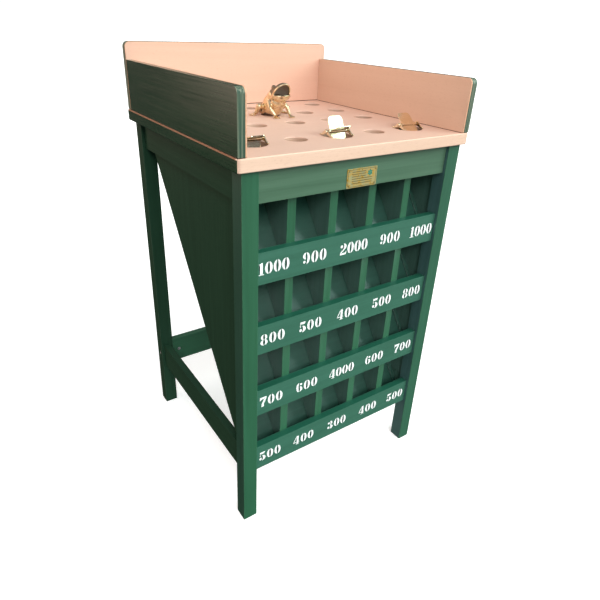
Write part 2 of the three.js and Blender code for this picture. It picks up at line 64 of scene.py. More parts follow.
# ---------------------------------------------------------------- materials
class Surface:
    """A Principled material whose textures read the object's own coordinates, in metres."""

    def __init__(self, name, **sockets):
        self.material = bpy.data.materials.new(name)
        self.material.use_nodes = True
        self.tree = self.material.node_tree
        self.shader = self.tree.nodes["Principled BSDF"]
        for socket, value in sockets.items():
            self.shader.inputs[socket.replace("_", " ")].default_value = value
        self.place = self.node("ShaderNodeTexCoord").outputs["Object"]
        self.normal = None

    def node(self, kind, **inputs):
        made = self.tree.nodes.new(kind)
        for socket, value in inputs.items():
            target = made.inputs[socket.replace("_", " ")]
            if isinstance(value, bpy.types.NodeSocket):
                self.tree.links.new(value, target)
            else:
                target.default_value = value
        return made

    def noise(self, scale, detail=3.0, roughness=0.5, distortion=0.0):
        """Noise with features of 1/scale metres along each axis."""
        stretched = self.node("ShaderNodeMapping", Vector=self.place, Scale=scale)
        made = self.node(
            "ShaderNodeTexNoise", Vector=stretched.outputs[0], Scale=1.0,
            Detail=detail, Roughness=roughness, Distortion=distortion,
        )
        return made.outputs["Fac"]

    def ramp(self, factor, *stops):
        made = self.node("ShaderNodeValToRGB", Fac=factor)
        elements = made.color_ramp.elements
        while len(elements) < len(stops):
            elements.new(0.5)
        for element, (position, colour) in zip(elements, stops):
            element.position = position
            element.color = (*colour, 1.0)
        return made.outputs["Color"]

    def range(self, value, low, high, to_low, to_high):
        made = self.node("ShaderNodeMapRange", Value=value)
        limits = {"From Min": low, "From Max": high, "To Min": to_low, "To Max": to_high}
        for socket, number in limits.items():
            made.inputs[socket].default_value = number
        return made.outputs[0]

    def mix(self, factor, first, second, blend="MIX"):
        made = self.tree.nodes.new("ShaderNodeMix")
        made.data_type = "RGBA"
        made.blend_type = blend
        for index, value in ((MIX_FACTOR, factor), (MIX_FIRST, first), (MIX_SECOND, second)):
            if isinstance(value, bpy.types.NodeSocket):
                self.tree.links.new(value, made.inputs[index])
            else:
                made.inputs[index].default_value = value if index == MIX_FACTOR else (*value, 1.0)
        return made.outputs[MIX_COLOUR]

    def bump(self, height, distance, strength=1.0):
        made = self.node("ShaderNodeBump", Height=height, Distance=distance, Strength=strength)
        if self.normal:
            self.tree.links.new(self.normal, made.inputs["Normal"])
        self.normal = made.outputs[0]
        self.tree.links.new(self.normal, self.shader.inputs["Normal"])

    def set(self, socket, value):
        self.tree.links.new(value, self.shader.inputs[socket])


def along(axis, lengthwise, across):
    """Texture scale that is stretched along one axis: features are long there and narrow across it."""
    return tuple(lengthwise if name == axis else across for name in "xyz")


GREEN_DEEP = (0.018, 0.096, 0.052)
GREEN = (0.022, 0.114, 0.063)
GREEN_LIGHT = (0.029, 0.138, 0.080)
GREEN_WORN = (0.060, 0.200, 0.130)
PLY_DARK = (0.026, 0.068, 0.042)
PLY_MIDDLE = (0.100, 0.140, 0.095)
PLY_LIGHT = (0.200, 0.220, 0.155)

# weight and index of the clear coat, specular level and roughness offset
SATIN = (0.12, 1.5, 0.5, 0.0)
FINISH = {  # of the parts that aren't satin
    "tray": (1.0, 1.58, 0.4, 0.0),
    "side": (0.0, 1.5, 0.12, 0.0),
    "board": (0.12, 1.5, 0.5, -0.21),
}


def green_paint(part, axis, tone, worn=False, turned=None):
    """Brushed satin enamel over wood whose grain runs along the axis.

    The tone scales its colour per kind of part, as painted light and shade, and the faces that face one way
    can take a tone of their own, painted light on some pieces and painted shade on others.
    """
    name = f"green_{part}_{axis}" + ("_edge" if worn else "")
    coat, index, specular, dull = FINISH.get(part, SATIN)
    paint = Surface(name, Coat_Weight=coat, Coat_Roughness=0.36, Coat_IOR=index, Specular_IOR_Level=specular)
    grain = paint.noise(along(axis, 2.2, 85.0), detail=6.0, roughness=0.62, distortion=0.5)
    brush = paint.noise(along(axis, 5.0, 420.0), detail=3.0, roughness=0.55)
    cloud = paint.noise((5.0, 5.0, 5.0), detail=2.0)
    colour = paint.ramp(grain, (0.28, GREEN_DEEP), (0.50, GREEN), (0.76, GREEN_LIGHT))
    colour = paint.mix(paint.range(cloud, 0.35, 0.7, 0.0, 0.35), colour, GREEN_LIGHT)
    if worn:
        rub = paint.noise((38.0, 38.0, 38.0), detail=4.0, roughness=0.65)
        colour = paint.mix(paint.range(rub, 0.38, 0.62, 0.1, 0.6), colour, GREEN_WORN)
    toned = paint.mix(1.0, colour, tone, "MULTIPLY")
    # painted light and shade: the faces facing one way take a tone of their own, lighter on some pieces and
    # darker on others
    if turned:
        way, sign, face_light_tone = turned
        direction = paint.node("ShaderNodeTexCoord").outputs["Normal"]
        normal = paint.node("ShaderNodeSeparateXYZ", Vector=direction)
        share = paint.range(normal.outputs[way], sign * 0.5, sign * 0.9, 0.0, 1.0)
        toned = paint.mix(share, toned, paint.mix(1.0, colour, face_light_tone, "MULTIPLY"))
    paint.set("Base Color", toned)
    paint.set("Roughness", paint.range(brush, 0.3, 0.7, 0.32 + dull, 0.46 + dull))
    paint.bump(grain, 0.0004, 0.5)
    paint.bump(brush, 0.00012, 0.6)
    return paint.material


def ply_edge_paint():
    """The same enamel on a board's cut edge, where the plies show as fine upright lines."""
    paint = Surface("green_ply_edge_z", Roughness=0.42, Coat_Weight=0.1, Coat_Roughness=0.3)
    plies = paint.noise(along("z", 2.0, 380.0), detail=2.0, roughness=0.5)
    patches = paint.noise(along("z", 14.0, 160.0), detail=4.0, roughness=0.6)
    colour = paint.ramp(plies, (0.43, PLY_DARK), (0.50, PLY_MIDDLE), (0.56, PLY_LIGHT))
    colour = paint.mix(paint.range(patches, 0.50, 0.75, 0.0, 0.4), colour, GREEN_DEEP)
    paint.set("Base Color", colour)
    paint.set("Roughness", paint.range(patches, 0.3, 0.7, 0.34, 0.52))
    paint.bump(plies, 0.0005, 0.7)
    return paint.material


WOOD = (0.795, 0.555, 0.420)
WOOD_DARK = (0.735, 0.495, 0.362)
WOOD_LIGHT = (0.830, 0.600, 0.465)
WOOD_FLECK = (0.560, 0.330, 0.215)


def bare_wood(axis, name="bare_wood", shade_wash=None):
    """Pale sanded veneer with faint straight grain and short medullary flecks, tinted with a darker colour on
    the faces meant to read less lit: a painted shade.
    """
    wood = Surface(f"{name}_{axis}", Roughness=0.55, Coat_Weight=0.08, Coat_Roughness=0.35)
    bands = wood.noise(along(axis, 1.1, 26.0), detail=5.0, roughness=0.6, distortion=0.7)
    grain = wood.noise(along(axis, 5.0, 330.0), detail=5.0, roughness=0.6)
    flecks = wood.noise(along(axis, 120.0, 900.0), detail=1.0)
    colour = wood.ramp(bands, (0.20, WOOD_DARK), (0.50, WOOD), (0.85, WOOD_LIGHT))
    colour = wood.mix(wood.range(grain, 0.35, 0.65, 0.32, 0.0), colour, WOOD_DARK)
    colour = wood.mix(wood.range(flecks, 0.60, 0.74, 0.0, 0.35), colour, WOOD_FLECK)
    if shade_wash:
        colour = wood.mix(0.4, colour, shade_wash)
    wood.set("Base Color", colour)
    wood.set("Roughness", wood.range(grain, 0.3, 0.7, 0.46, 0.62))
    wood.bump(grain, 0.00025, 0.5)
    return wood.material


def brass(name, base, light, roughness, tarnish=(0.30, 0.17, 0.055), pits=0.0, metallic=1.0, spots=34.0):
    """Brass with patchy tarnish, fine polishing marks and, on castings, a skin of shallow pits."""
    metal = Surface(name, Metallic=metallic, Roughness=roughness)
    patches = metal.noise((spots, spots, spots), detail=5.0, roughness=0.6, distortion=0.6)
    marks = metal.noise((120.0, 900.0, 120.0), detail=3.0, roughness=0.6)
    colour = metal.ramp(patches, (0.32, base), (0.62, light))
    colour = metal.mix(metal.range(patches, 0.56, 0.74, 0.0, 0.45), colour, tarnish)
    metal.set("Base Color", colour)
    metal.set("Roughness", metal.range(patches, 0.35, 0.7, roughness * 0.8, roughness * 1.6))
    metal.bump(marks, 0.00006, 0.5)
    if pits:
        skin = metal.noise((420.0, 420.0, 420.0), detail=2.0)
        metal.bump(skin, pits, 0.5)
    return metal.material


def zinc():
    metal = Surface("zinc_plate", Metallic=1.0, Roughness=0.3)
    patches = metal.noise((160.0, 160.0, 160.0), detail=4.0)
    metal.set("Base Color", metal.ramp(patches, (0.35, (0.50, 0.51, 0.52)), (0.65, (0.74, 0.75, 0.76))))
    metal.set("Roughness", metal.range(patches, 0.3, 0.7, 0.24, 0.42))
    metal.bump(metal.noise((900.0, 900.0, 900.0), detail=1.0), 0.00005, 0.4)
    return metal.material


def stencil_white():
    """Sprayed white, a little thin and uneven over the green."""
    white = Surface("stencil_white", Roughness=0.5)
    spray = white.noise((260.0, 260.0, 260.0), detail=4.0, roughness=0.7)
    thin = white.noise((70.0, 70.0, 70.0), detail=3.0)
    colour = white.ramp(spray, (0.25, (0.84, 0.88, 0.86)), (0.50, (0.97, 0.98, 0.97)))
    white.set("Base Color", white.mix(white.range(thin, 0.58, 0.78, 0.0, 0.35), colour, (0.52, 0.62, 0.56)))
    white.bump(spray, 0.0001, 0.4)
    return white.material


def enamel(name, deep, light, roughness=0.25, gloss=0.5):
    paint = Surface(name, Roughness=roughness, Coat_Weight=gloss, Coat_Roughness=0.1)
    fill = paint.noise((300.0, 300.0, 300.0), detail=3.0)
    paint.set("Base Color", paint.ramp(fill, (0.3, deep), (0.7, light)))
    paint.bump(fill, 0.0001, 0.4)
    return paint.material


# how far the enamel of each kind of part leans from the standard green. These leanings are painted light and
# shade: the rails and the apron are lighter, and the apron warmer, as a painted reflection; the parts on the
# shaded left side, the boards and the deep trays are darker, as a painted shade
TONES = {
    "frame": (0.96, 0.90, 0.80),
    "rail": (1.60, 1.14, 1.34),
    "apron": (3.00, 1.26, 1.36),
    "side": (0.74, 0.44, 0.44),
    "board": (0.60, 0.42, 0.34),
    "tray": (0.66, 0.60, 0.74),
}


@cache
def paints(part, axis):
    """The enamel of a kind of part, and the same with the wear that its edges show."""
    return green_paint(part, axis, TONES[part]), green_paint(part, axis, TONES[part], worn=True)


TO_LEFT, UPWARDS = ("X", -1), ("Z", 1)
# pieces with a face that is lighter or darker than the rest, painted light and painted shade: the left-facing
# faces of the dividers, the right leg and the right stretcher are painted light, and the left leg's left
# faces and the rails' upper faces painted shade. Columns: grain, tone, and that face's way and tone
FACE_LIGHT_PAINTS = {
    name: green_paint(name, axis, tone, turned=(*way, face_light_tone))
    for name, axis, tone, way, face_light_tone in (
        ("divider", "z", TONES["frame"], TO_LEFT, (3.4, 1.45, 2.1)),
        ("right_leg", "z", (1.14, 0.92, 0.92), TO_LEFT, (2.9, 1.32, 2.3)),
        ("left_leg", "z", TONES["frame"], TO_LEFT, (0.76, 0.60, 0.68)),
        ("right_stretcher", "y", TONES["frame"], TO_LEFT, (3.8, 1.9, 2.6)),
        ("score_rail", "x", TONES["rail"], UPWARDS, (0.55, 0.78, 0.85)),
    )
}
PLY_EDGE = ply_edge_paint()
WOOD_X = bare_wood("x")
WOOD_Y = bare_wood("y")
# darker tinted copies of the veneer for the deck top, the hole walls, the back board's facing and the right
# board's facing: painted shade, deepest in the holes
WOOD_DECK = bare_wood("x", "deck_wood", shade_wash=(0.600, 0.370, 0.310))
WOOD_BORE = bare_wood("z", "bore_wood", shade_wash=(0.300, 0.170, 0.110))
WOOD_BACK = bare_wood("x", "back_wood", shade_wash=(0.610, 0.310, 0.225))
WOOD_RIGHT = bare_wood("y", "right_wood", shade_wash=(0.660, 0.440, 0.330))
WOOD_EDGE = enamel("facing_edge", (0.62, 0.33, 0.20), (0.78, 0.46, 0.30), roughness=0.55, gloss=0.05)
CAST_BRASS = brass(
    "cast_brass", (0.76, 0.57, 0.34), (0.90, 0.74, 0.50), 0.22, tarnish=(0.52, 0.36, 0.20), pits=0.0002)
SHEET_BRASS = brass("sheet_brass", (0.86, 0.72, 0.49), (0.94, 0.83, 0.62), 0.13)
PLATE_BRASS = brass(
    "plate_brass", (0.68, 0.38, 0.03), (0.52, 0.49, 0.25), 0.32,
    tarnish=(0.38, 0.33, 0.17), metallic=0.45, spots=120.0,
)
DARK_BRASS = brass("engraved_brass", (0.26, 0.19, 0.07), (0.42, 0.33, 0.15), 0.5)
ZINC = zinc()
# near-black joint strip under the boards, standing in for the shade in the seam: a painted shadow
SEAM_SHADOW = enamel("seam_shadow", (0.030, 0.014, 0.008), (0.060, 0.028, 0.016), roughness=0.8, gloss=0.0)
# darker, duller brass for the top of the upper jaw, a painted dark reflection
DARK_JAW_BRASS = brass(
    "jaw_reflection_brass", (0.22, 0.17, 0.12), (0.34, 0.27, 0.19), 0.38, tarnish=(0.13, 0.10, 0.07), pits=0.0002)
MOUTH = enamel("mouth_patina", (0.30, 0.235, 0.18), (0.40, 0.32, 0.25), roughness=0.6, gloss=0.0)
RIM_WOOD = enamel("rim_wood", (0.26, 0.115, 0.06), (0.42, 0.20, 0.11), roughness=0.6, gloss=0.0)
WHITE = stencil_white()
LEAF_ENAMEL = enamel("leaf_enamel", (0.020, 0.170, 0.110), (0.050, 0.270, 0.180))


# ---------------------------------------------------------------- mesh helpers
def piece(name, mesh, materials, replaces=()):
    """Turns a bmesh or mesh into a piece of the object that rides on the frame."""
    if isinstance(mesh, bmesh.types.BMesh):
        made = bpy.data.meshes.new(name)
        mesh.to_mesh(made)
        mesh.free()
        mesh = made
    made = bpy.data.objects.new(name, mesh)
    bpy.context.scene.collection.objects.link(made)
    for material in materials:
        mesh.materials.append(material)
    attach(made, MAIN_BODY)
    if replaces:
        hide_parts(*replaces)
    if "band" in mesh.attributes:
        weigh_normals(made, keep_sharp=True)
    return made


def weigh_normals(made, keep_sharp):
    """Shades flat faces flat, so that only the rounded edges blend."""
    weighted = made.modifiers.new("normals", "WEIGHTED_NORMAL")
    weighted.weight = 80
    weighted.keep_sharp = keep_sharp


def smooth_faces(bm, sharp_degrees=32.0):
    """Smooth shading, with edges sharper than the angle kept crisp."""
    bm.normal_update()
    for face in bm.faces:
        face.smooth = True
    for edge in bm.edges:
        if len(edge.link_faces) == 2:
            edge.smooth = edge.calc_face_angle(0.0) < math.radians(sharp_degrees)


def arc(cx, cy, rx, ry, start, end, steps=14):
    """Points on an ellipse between two angles in degrees."""
    turns = [math.radians(start + (end - start) * i / steps) for i in range(steps + 1)]
    return [(cx + rx * math.cos(t), cy + ry * math.sin(t)) for t in turns]


CORNER_STEPS = 10
HOLE_STEPS = 96
THINNEST = 0.00005  # metres: keeps a corner's arc from closing up


def rounded_rectangle(left, right, low, high, radii, inset=0.0):
    """Outline with one radius per corner: low left, low right, high right, high left."""
    corners = [(left, low, 180), (right, low, 270), (right, high, 0), (left, high, 90)]
    points = []
    for (x, y, start), radius in zip(corners, radii):
        inward_x = 1 if x == left else -1
        inward_y = 1 if y == low else -1
        bend = max(radius - inset, THINNEST)
        reach = max(radius, inset + THINNEST)
        points += arc(x + inward_x * reach, y + inward_y * reach, bend, bend, start, start + 90, CORNER_STEPS)
    return points


def ring(cx, cy, radius, sides):
    """Points round a full circle."""
    return arc(cx, cy, radius, radius, 0, 360 * (sides - 1) / sides, sides - 1)


def slab(outlines, low, high, bevel, rounds=3):
    """A plate between two levels with rounded-over edges.

    outlines are functions of the inset that give a loop of points, the outside first and then
    the holes. Faces carry their band in a layer: 0 the low face, 1 the low edge round,
    2 the wall, 3 the high edge round, 4 the high face.
    """
    bm = bmesh.new()
    band = bm.faces.layers.int.new("band")
    turns = [math.pi / 2 * i / rounds for i in range(rounds + 1)]
    levels = [(bevel * (1 - math.sin(t)), low + bevel * (1 - math.cos(t)), 1) for t in turns]
    levels += [(bevel * (1 - math.cos(t)), high - bevel * (1 - math.sin(t)), 3) for t in turns]
    levels[rounds + 1] = (levels[rounds + 1][0], levels[rounds + 1][1], 2)
    faces_edges = {0: [], 4: []}
    for outline in outlines:
        rings = []
        for inset, level, _ in levels:
            rings.append([bm.verts.new((x, y, level)) for x, y in outline(inset)])
        for (lower, upper), (_, _, number) in zip(zip(rings, rings[1:]), levels[1:]):
            for i in range(len(lower)):
                j = (i + 1) % len(lower)
                bm.faces.new((lower[i], lower[j], upper[j], upper[i]))[band] = number
        for number, rim in ((0, rings[0]), (4, rings[-1])):
            faces_edges[number] += [bm.edges.get(ends) for ends in zip(rim, rim[1:] + rim[:1])]
    for number, edges in faces_edges.items():
        filled = bmesh.ops.triangle_fill(bm, use_beauty=True, use_dissolve=False, edges=edges)
        for item in filled["geom"]:
            if isinstance(item, bmesh.types.BMFace):
                item[band] = number
    bmesh.ops.recalc_face_normals(bm, faces=bm.faces)
    smooth_faces(bm)
    return bm


def stand_up(bm, axis):
    """Turns a slab drawn flat so that its thickness runs along x (outline y, z) or y (outline x, z)."""
    if axis == "x":
        turn = Matrix(((0, 0, 1, 0), (1, 0, 0, 0), (0, 1, 0, 0), (0, 0, 0, 1)))
    else:
        turn = Matrix(((1, 0, 0, 0), (0, 0, -1, 0), (0, 1, 0, 0), (0, 0, 0, 1)))
    bmesh.ops.transform(bm, matrix=turn, verts=bm.verts)


def paint_bands(bm, choose):
    band = bm.faces.layers.int["band"]
    for face in bm.faces:
        face.material_index = choose(face[band], face)


def extents(node):
    low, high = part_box(node)
    return (low.x, high.x), (low.y, high.y), (low.z, high.z)


def lathe(profile, centre, axis=Vector((0, 0, 1)), sides=32):
    """A closed turned solid: (radius, height) points from one end of the axis to the other."""
    bm = bmesh.new()
    rings = []
    for radius, height in profile:
        if radius < 1e-9:
            rings.append([bm.verts.new((0, 0, height))])
            continue
        rings.append([bm.verts.new((x, y, height)) for x, y in ring(0, 0, radius, sides)])
    for lower, upper in zip(rings, rings[1:]):
        for i in range(sides):
            j = (i + 1) % sides
            corners = ((lower, i), (lower, j), (upper, j), (upper, i))
            quad = [row[place % len(row)] for row, place in corners]
            bm.faces.new(list(dict.fromkeys(quad)))
    bmesh.ops.recalc_face_normals(bm, faces=bm.faces)
    turn = axis.to_track_quat("Z", "Y").to_matrix().to_4x4()
    bmesh.ops.transform(bm, matrix=Matrix.Translation(centre) @ turn, verts=bm.verts)
    smooth_faces(bm, 50)
    return bm


def merge(target, source):
    """Adds a bmesh's geometry to another and frees it."""
    part = bpy.data.meshes.new("part")
    source.to_mesh(part)
    source.free()
    target.from_mesh(part)
    bpy.data.meshes.remove(part)


def carve(target, cutter_bm):
    """Subtracts a closed bmesh from a piece and applies the result."""
    cutter_mesh = bpy.data.meshes.new("cutter")
    cutter_bm.to_mesh(cutter_mesh)
    cutter_bm.free()
    cutter = bpy.data.objects.new("cutter", cutter_mesh)
    bpy.context.scene.collection.objects.link(cutter)
    cut = target.modifiers.new("cut", "BOOLEAN")
    cut.operation = "DIFFERENCE"
    cut.solver = "EXACT"
    cut.object = cutter
    bake_modifiers(target)
    bpy.data.objects.remove(cutter)
    bpy.data.meshes.remove(cutter_mesh)


def bake_modifiers(target):
    bpy.context.view_layer.update()
    graph = bpy.context.evaluated_depsgraph_get()
    result = bpy.data.meshes.new_from_object(target.evaluated_get(graph))
    old = target.data
    target.modifiers.clear()
    target.data = result
    bpy.data.meshes.remove(old)


# ---------------------------------------------------------------- deck and upstand boards
TARGET_RADIUS = 23 * MM
WELL_RADIUS = 32.5 * MM
DECK_ROUND = 2.2 * MM
DECK_CORNERS = (8 * MM, 8 * MM, 2 * MM, 2 * MM)
DECK_RIM = 9 * MM  # the deck's own edges lie within this of its outline, the holes further in
BACK_RIM = 4 * MM
FRONT_ROUND = 10 * MM  # upper edge rounds nearer the front than this belong to the front edge
SEAM = 0.8 * MM  # the boards stand on a near-black joint strip, a painted shadow in the seam
FACING = 3.0 * MM  # thickness of the bare wood face glued to each painted board
CORE_ROUND = 0.8 * MM
FACING_ROUND = 0.4 * MM
PLAIN_CORNER = 1.2 * MM
ROUND_CORNER = 12 * MM


def middle_of(node):
    low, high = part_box(node)
    return (low + high) / 2


def deck_holes():
    """Centre and radius of every hole: the record's targets, a well under each mill, the frog's."""
    places = {}
    for opening in frame["record"]["physics"]["openings"]:
        low, high = (Vector(corner) for corner in opening["box_m"])
        if opening["name"].startswith("target_"):
            places[opening["name"]] = (low + high) / 2
    holes = [(place.x, place.y, TARGET_RADIUS) for place in places.values()]
    frog_hole = (places["target_row3_left"] + places["target_row3_right"]) / 2
    holes.append((frog_hole.x, frog_hole.y, TARGET_RADIUS))
    pins = [middle_of(f"{label}_mill_pin") for label in MILLS]
    return holes + [(pin.x, pin.y, WELL_RADIUS) for pin in pins]


def build_deck():
    (left, right), (front, back), (low, high) = extents("top_board")
    outlines = [lambda inset: rounded_rectangle(left, right, front, back, DECK_CORNERS, inset)]
    for x, y, radius in deck_holes():
        # the holes are eased less than the outside
        outlines.append(lambda inset, x=x, y=y, radius=radius: ring(x, y, radius + inset * 0.5, HOLE_STEPS))
    bm = slab(outlines, low, high, DECK_ROUND)
    green_side, wood, bore, rim, top = 0, 1, 2, 3, 4

    def choose(band, face):
        middle = face.calc_center_median()
        inside = abs(middle.x) < right - DECK_RIM and front + DECK_RIM < middle.y < back - BACK_RIM
        if band == 4:
            return top
        if band == 0:
            return green_side
        if inside:
            return top if band == 3 else bore
        if band == 3:
            return wood if middle.y < front + FRONT_ROUND else rim
        return wood if face.normal.y < -0.55 else green_side

    paint_bands(bm, choose)
    # the deck top and the hole walls take darker tinted veneers than the front edge: painted shade, deepest
    # in the holes
    materials = [paints("board", "y")[0], WOOD_X, WOOD_BORE, RIM_WOOD, WOOD_DECK]
    piece("deck_board", bm, materials, replaces=["top_board"])


def build_seam_shadow(node):
    """Recessed near-black strip in the joint between the deck and the foot of a board, a painted shadow in
    the seam.
    """
    (left, right), (front, back), (low, _) = extents(node)
    deck_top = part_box("top_board")[1].z
    inset = 1.2 * MM
    corners = rounded_rectangle(left + inset, right - inset, front + inset, back - inset, (1 * MM,) * 4)
    bm = slab([lambda _: corners], deck_top + 0.02 * MM, low + SEAM - 0.02 * MM, 0.0, rounds=1)
    bmesh.ops.remove_doubles(bm, verts=bm.verts, dist=1e-6)
    piece(f"{node}_seam_shadow", bm, [SEAM_SHADOW])


def build_side_board(label, side):
    node = f"{label}_side_board"
    build_seam_shadow(node)
    (left, right), (front, back), (low, high) = extents(node)
    low += SEAM
    radii = (PLAIN_CORNER, PLAIN_CORNER, PLAIN_CORNER, ROUND_CORNER)
    outline = lambda inset: rounded_rectangle(front, back, low, high, radii, inset)
    seam = right - FACING if side < 0 else left + FACING
    core, facing = ((left, seam), (seam, right)) if side < 0 else ((seam, right), (left, seam))
    bm = slab([outline], *core, CORE_ROUND)
    stand_up(bm, "x")
    paint_bands(bm, lambda band, face: 1 if abs(face.normal.y) > 0.3 else 0)
    materials = [paints("board", "y")[0], PLY_EDGE]
    piece(f"{label}_wall_board", bm, materials, replaces=[node])
    bm = slab([outline], *facing, FACING_ROUND)
    stand_up(bm, "x")
    paint_bands(bm, lambda band, face: 0 if band in (0, 4) else 1)
    # the right board's facing takes a darker tinted veneer than the left's, a painted shade
    piece(f"{label}_wall_facing", bm, [WOOD_Y if side < 0 else WOOD_RIGHT, WOOD_EDGE])


def build_back_board():
    build_seam_shadow("back_board")
    (left, right), (front, back), (low, high) = extents("back_board")
    low += SEAM
    radii = (PLAIN_CORNER, PLAIN_CORNER, ROUND_CORNER, ROUND_CORNER)
    outline = lambda inset: rounded_rectangle(left, right, low, high, radii, inset)
    bm = slab([outline], -back, -front - FACING, CORE_ROUND)
    stand_up(bm, "y")
    paint_bands(bm, lambda band, face: 1 if abs(face.normal.x) > 0.3 else 0)
    materials = [paints("board", "x")[0], PLY_EDGE]
    piece("back_wall_board", bm, materials, replaces=["back_board"])
    bm = slab([lambda inset: outline(inset + 0.6 * MM)], -front - FACING, -front, FACING_ROUND)
    stand_up(bm, "y")
    paint_bands(bm, lambda band, face: 0 if band in (0, 4) else 1)
    # the back board's facing takes a darker, redder tinted veneer, a painted shade
    piece("back_wall_facing", bm, [WOOD_BACK, WOOD_EDGE])


# ---------------------------------------------------------------- carried-over CAD nodes
def shade_smooth_group():
    group = bpy.data.node_groups.new("shade_smooth", "GeometryNodeTree")
    group.interface.new_socket("Geometry", in_out="INPUT", socket_type="NodeSocketGeometry")
    group.interface.new_socket("Geometry", in_out="OUTPUT", socket_type="NodeSocketGeometry")
    start = group.nodes.new("NodeGroupInput")
    smooth = group.nodes.new("GeometryNodeSetShadeSmooth")
    end = group.nodes.new("NodeGroupOutput")
    group.links.new(start.outputs[0], smooth.inputs[0])
    group.links.new(smooth.outputs[0], end.inputs[0])
    return group


SHADE_SMOOTH = shade_smooth_group()


def finish_node(name, material, edge_material=None, bevel=1.2 * MM, segments=3):
    """Rounds a CAD node's edges with modifiers and gives it its materials."""
    node = NODES[name]
    node.data.materials.clear()
    node.data.materials.append(material)
    node.data.materials.append(edge_material or material)
    weld = node.modifiers.new("weld", "WELD")
    weld.merge_threshold = 1e-6
    rounding = node.modifiers.new("round_edges", "BEVEL")
    rounding.width = bevel
    rounding.segments = segments
    rounding.limit_method = "ANGLE"
    rounding.angle_limit = math.radians(35)
    rounding.material = 1
    rounding.use_clamp_overlap = True
    smooth = node.modifiers.new("smooth", "NODES")
    smooth.node_group = SHADE_SMOOTH
    weigh_normals(node, keep_sharp=False)


def grain_axis(name):
    if "leg" in name or "divider" in name or "chute_side" in name:
        return "z"
    if name.startswith(("left_", "right_")) or "cleat" in name:
        return "y"
    return "x"


def tone_of(name):
    # the parts seen on the shaded left take the darker side tone, a painted shade; the front apron takes a
    # painted reflection, and the chute parts and cleats the darker tray tone, a painted shade
    if name in ("chute_side_left", "left_apron", "left_stretcher", "rear_left_leg"):
        return "side"
    if name == "front_apron":
        return "apron"
    return "tray" if "chute" in name or "cleat" in name else "frame"


def dress_nodes():
    wooden = ("leg", "apron", "stretcher", "rail", "divider", "floor", "chute_side", "cleat")
    for name in sorted(NODES):
        if "bolt" in name or "nut" in name:
            finish_node(name, ZINC, bevel=0.4 * MM, segments=2)
        elif "mill" in name:
            finish_node(name, SHEET_BRASS, bevel=0.35 * MM, segments=2)
        # the rails, the right stretcher, the dividers, the right chute side and the front legs take paints
        # with painted light or painted shade on one face
        elif "rail" in name:
            finish_node(name, FACE_LIGHT_PAINTS["score_rail"], paints("rail", "x")[0])
        elif name == "right_stretcher":
            finish_node(name, FACE_LIGHT_PAINTS[name], paints("frame", "y")[1])
        elif "divider" in name or name in ("chute_side_right", "front_left_leg", "front_right_leg"):
            part = name.removeprefix("front_") if "leg" in name else "divider"
            finish_node(name, FACE_LIGHT_PAINTS[part], paints("frame", "z")[1])
        elif any(word in name for word in wooden):
            axis = grain_axis(name)
            slim = "floor" in name or "cleat" in name
            finish_node(name, *paints(tone_of(name), axis), bevel=(0.7 if slim else 1.3) * MM)


# ---------------------------------------------------------------- stencilled numbers
BRIDGE = 0.042  # half the gap between the halves of a stencilled digit


def bowl(cx, cy, rx, ry, side, core, wall=0.035):
    """Half of a fat-face ring: an ellipse less a narrower one, cut short of the middle."""
    outer = math.degrees(math.acos(BRIDGE / rx))
    inner = math.degrees(math.acos(BRIDGE / core))
    points = arc(0, 0, rx, ry, -outer, outer) + arc(0, 0, core, ry - wall, inner, -inner)
    return [(cx + side * x, cy + y) for x, y in points]


def dot(cx, cy, radius):
    return ring(cx, cy, radius, 16)


def bar(left, low, right, high):
    return [(left, low), (right, low), (right, high), (left, high)]


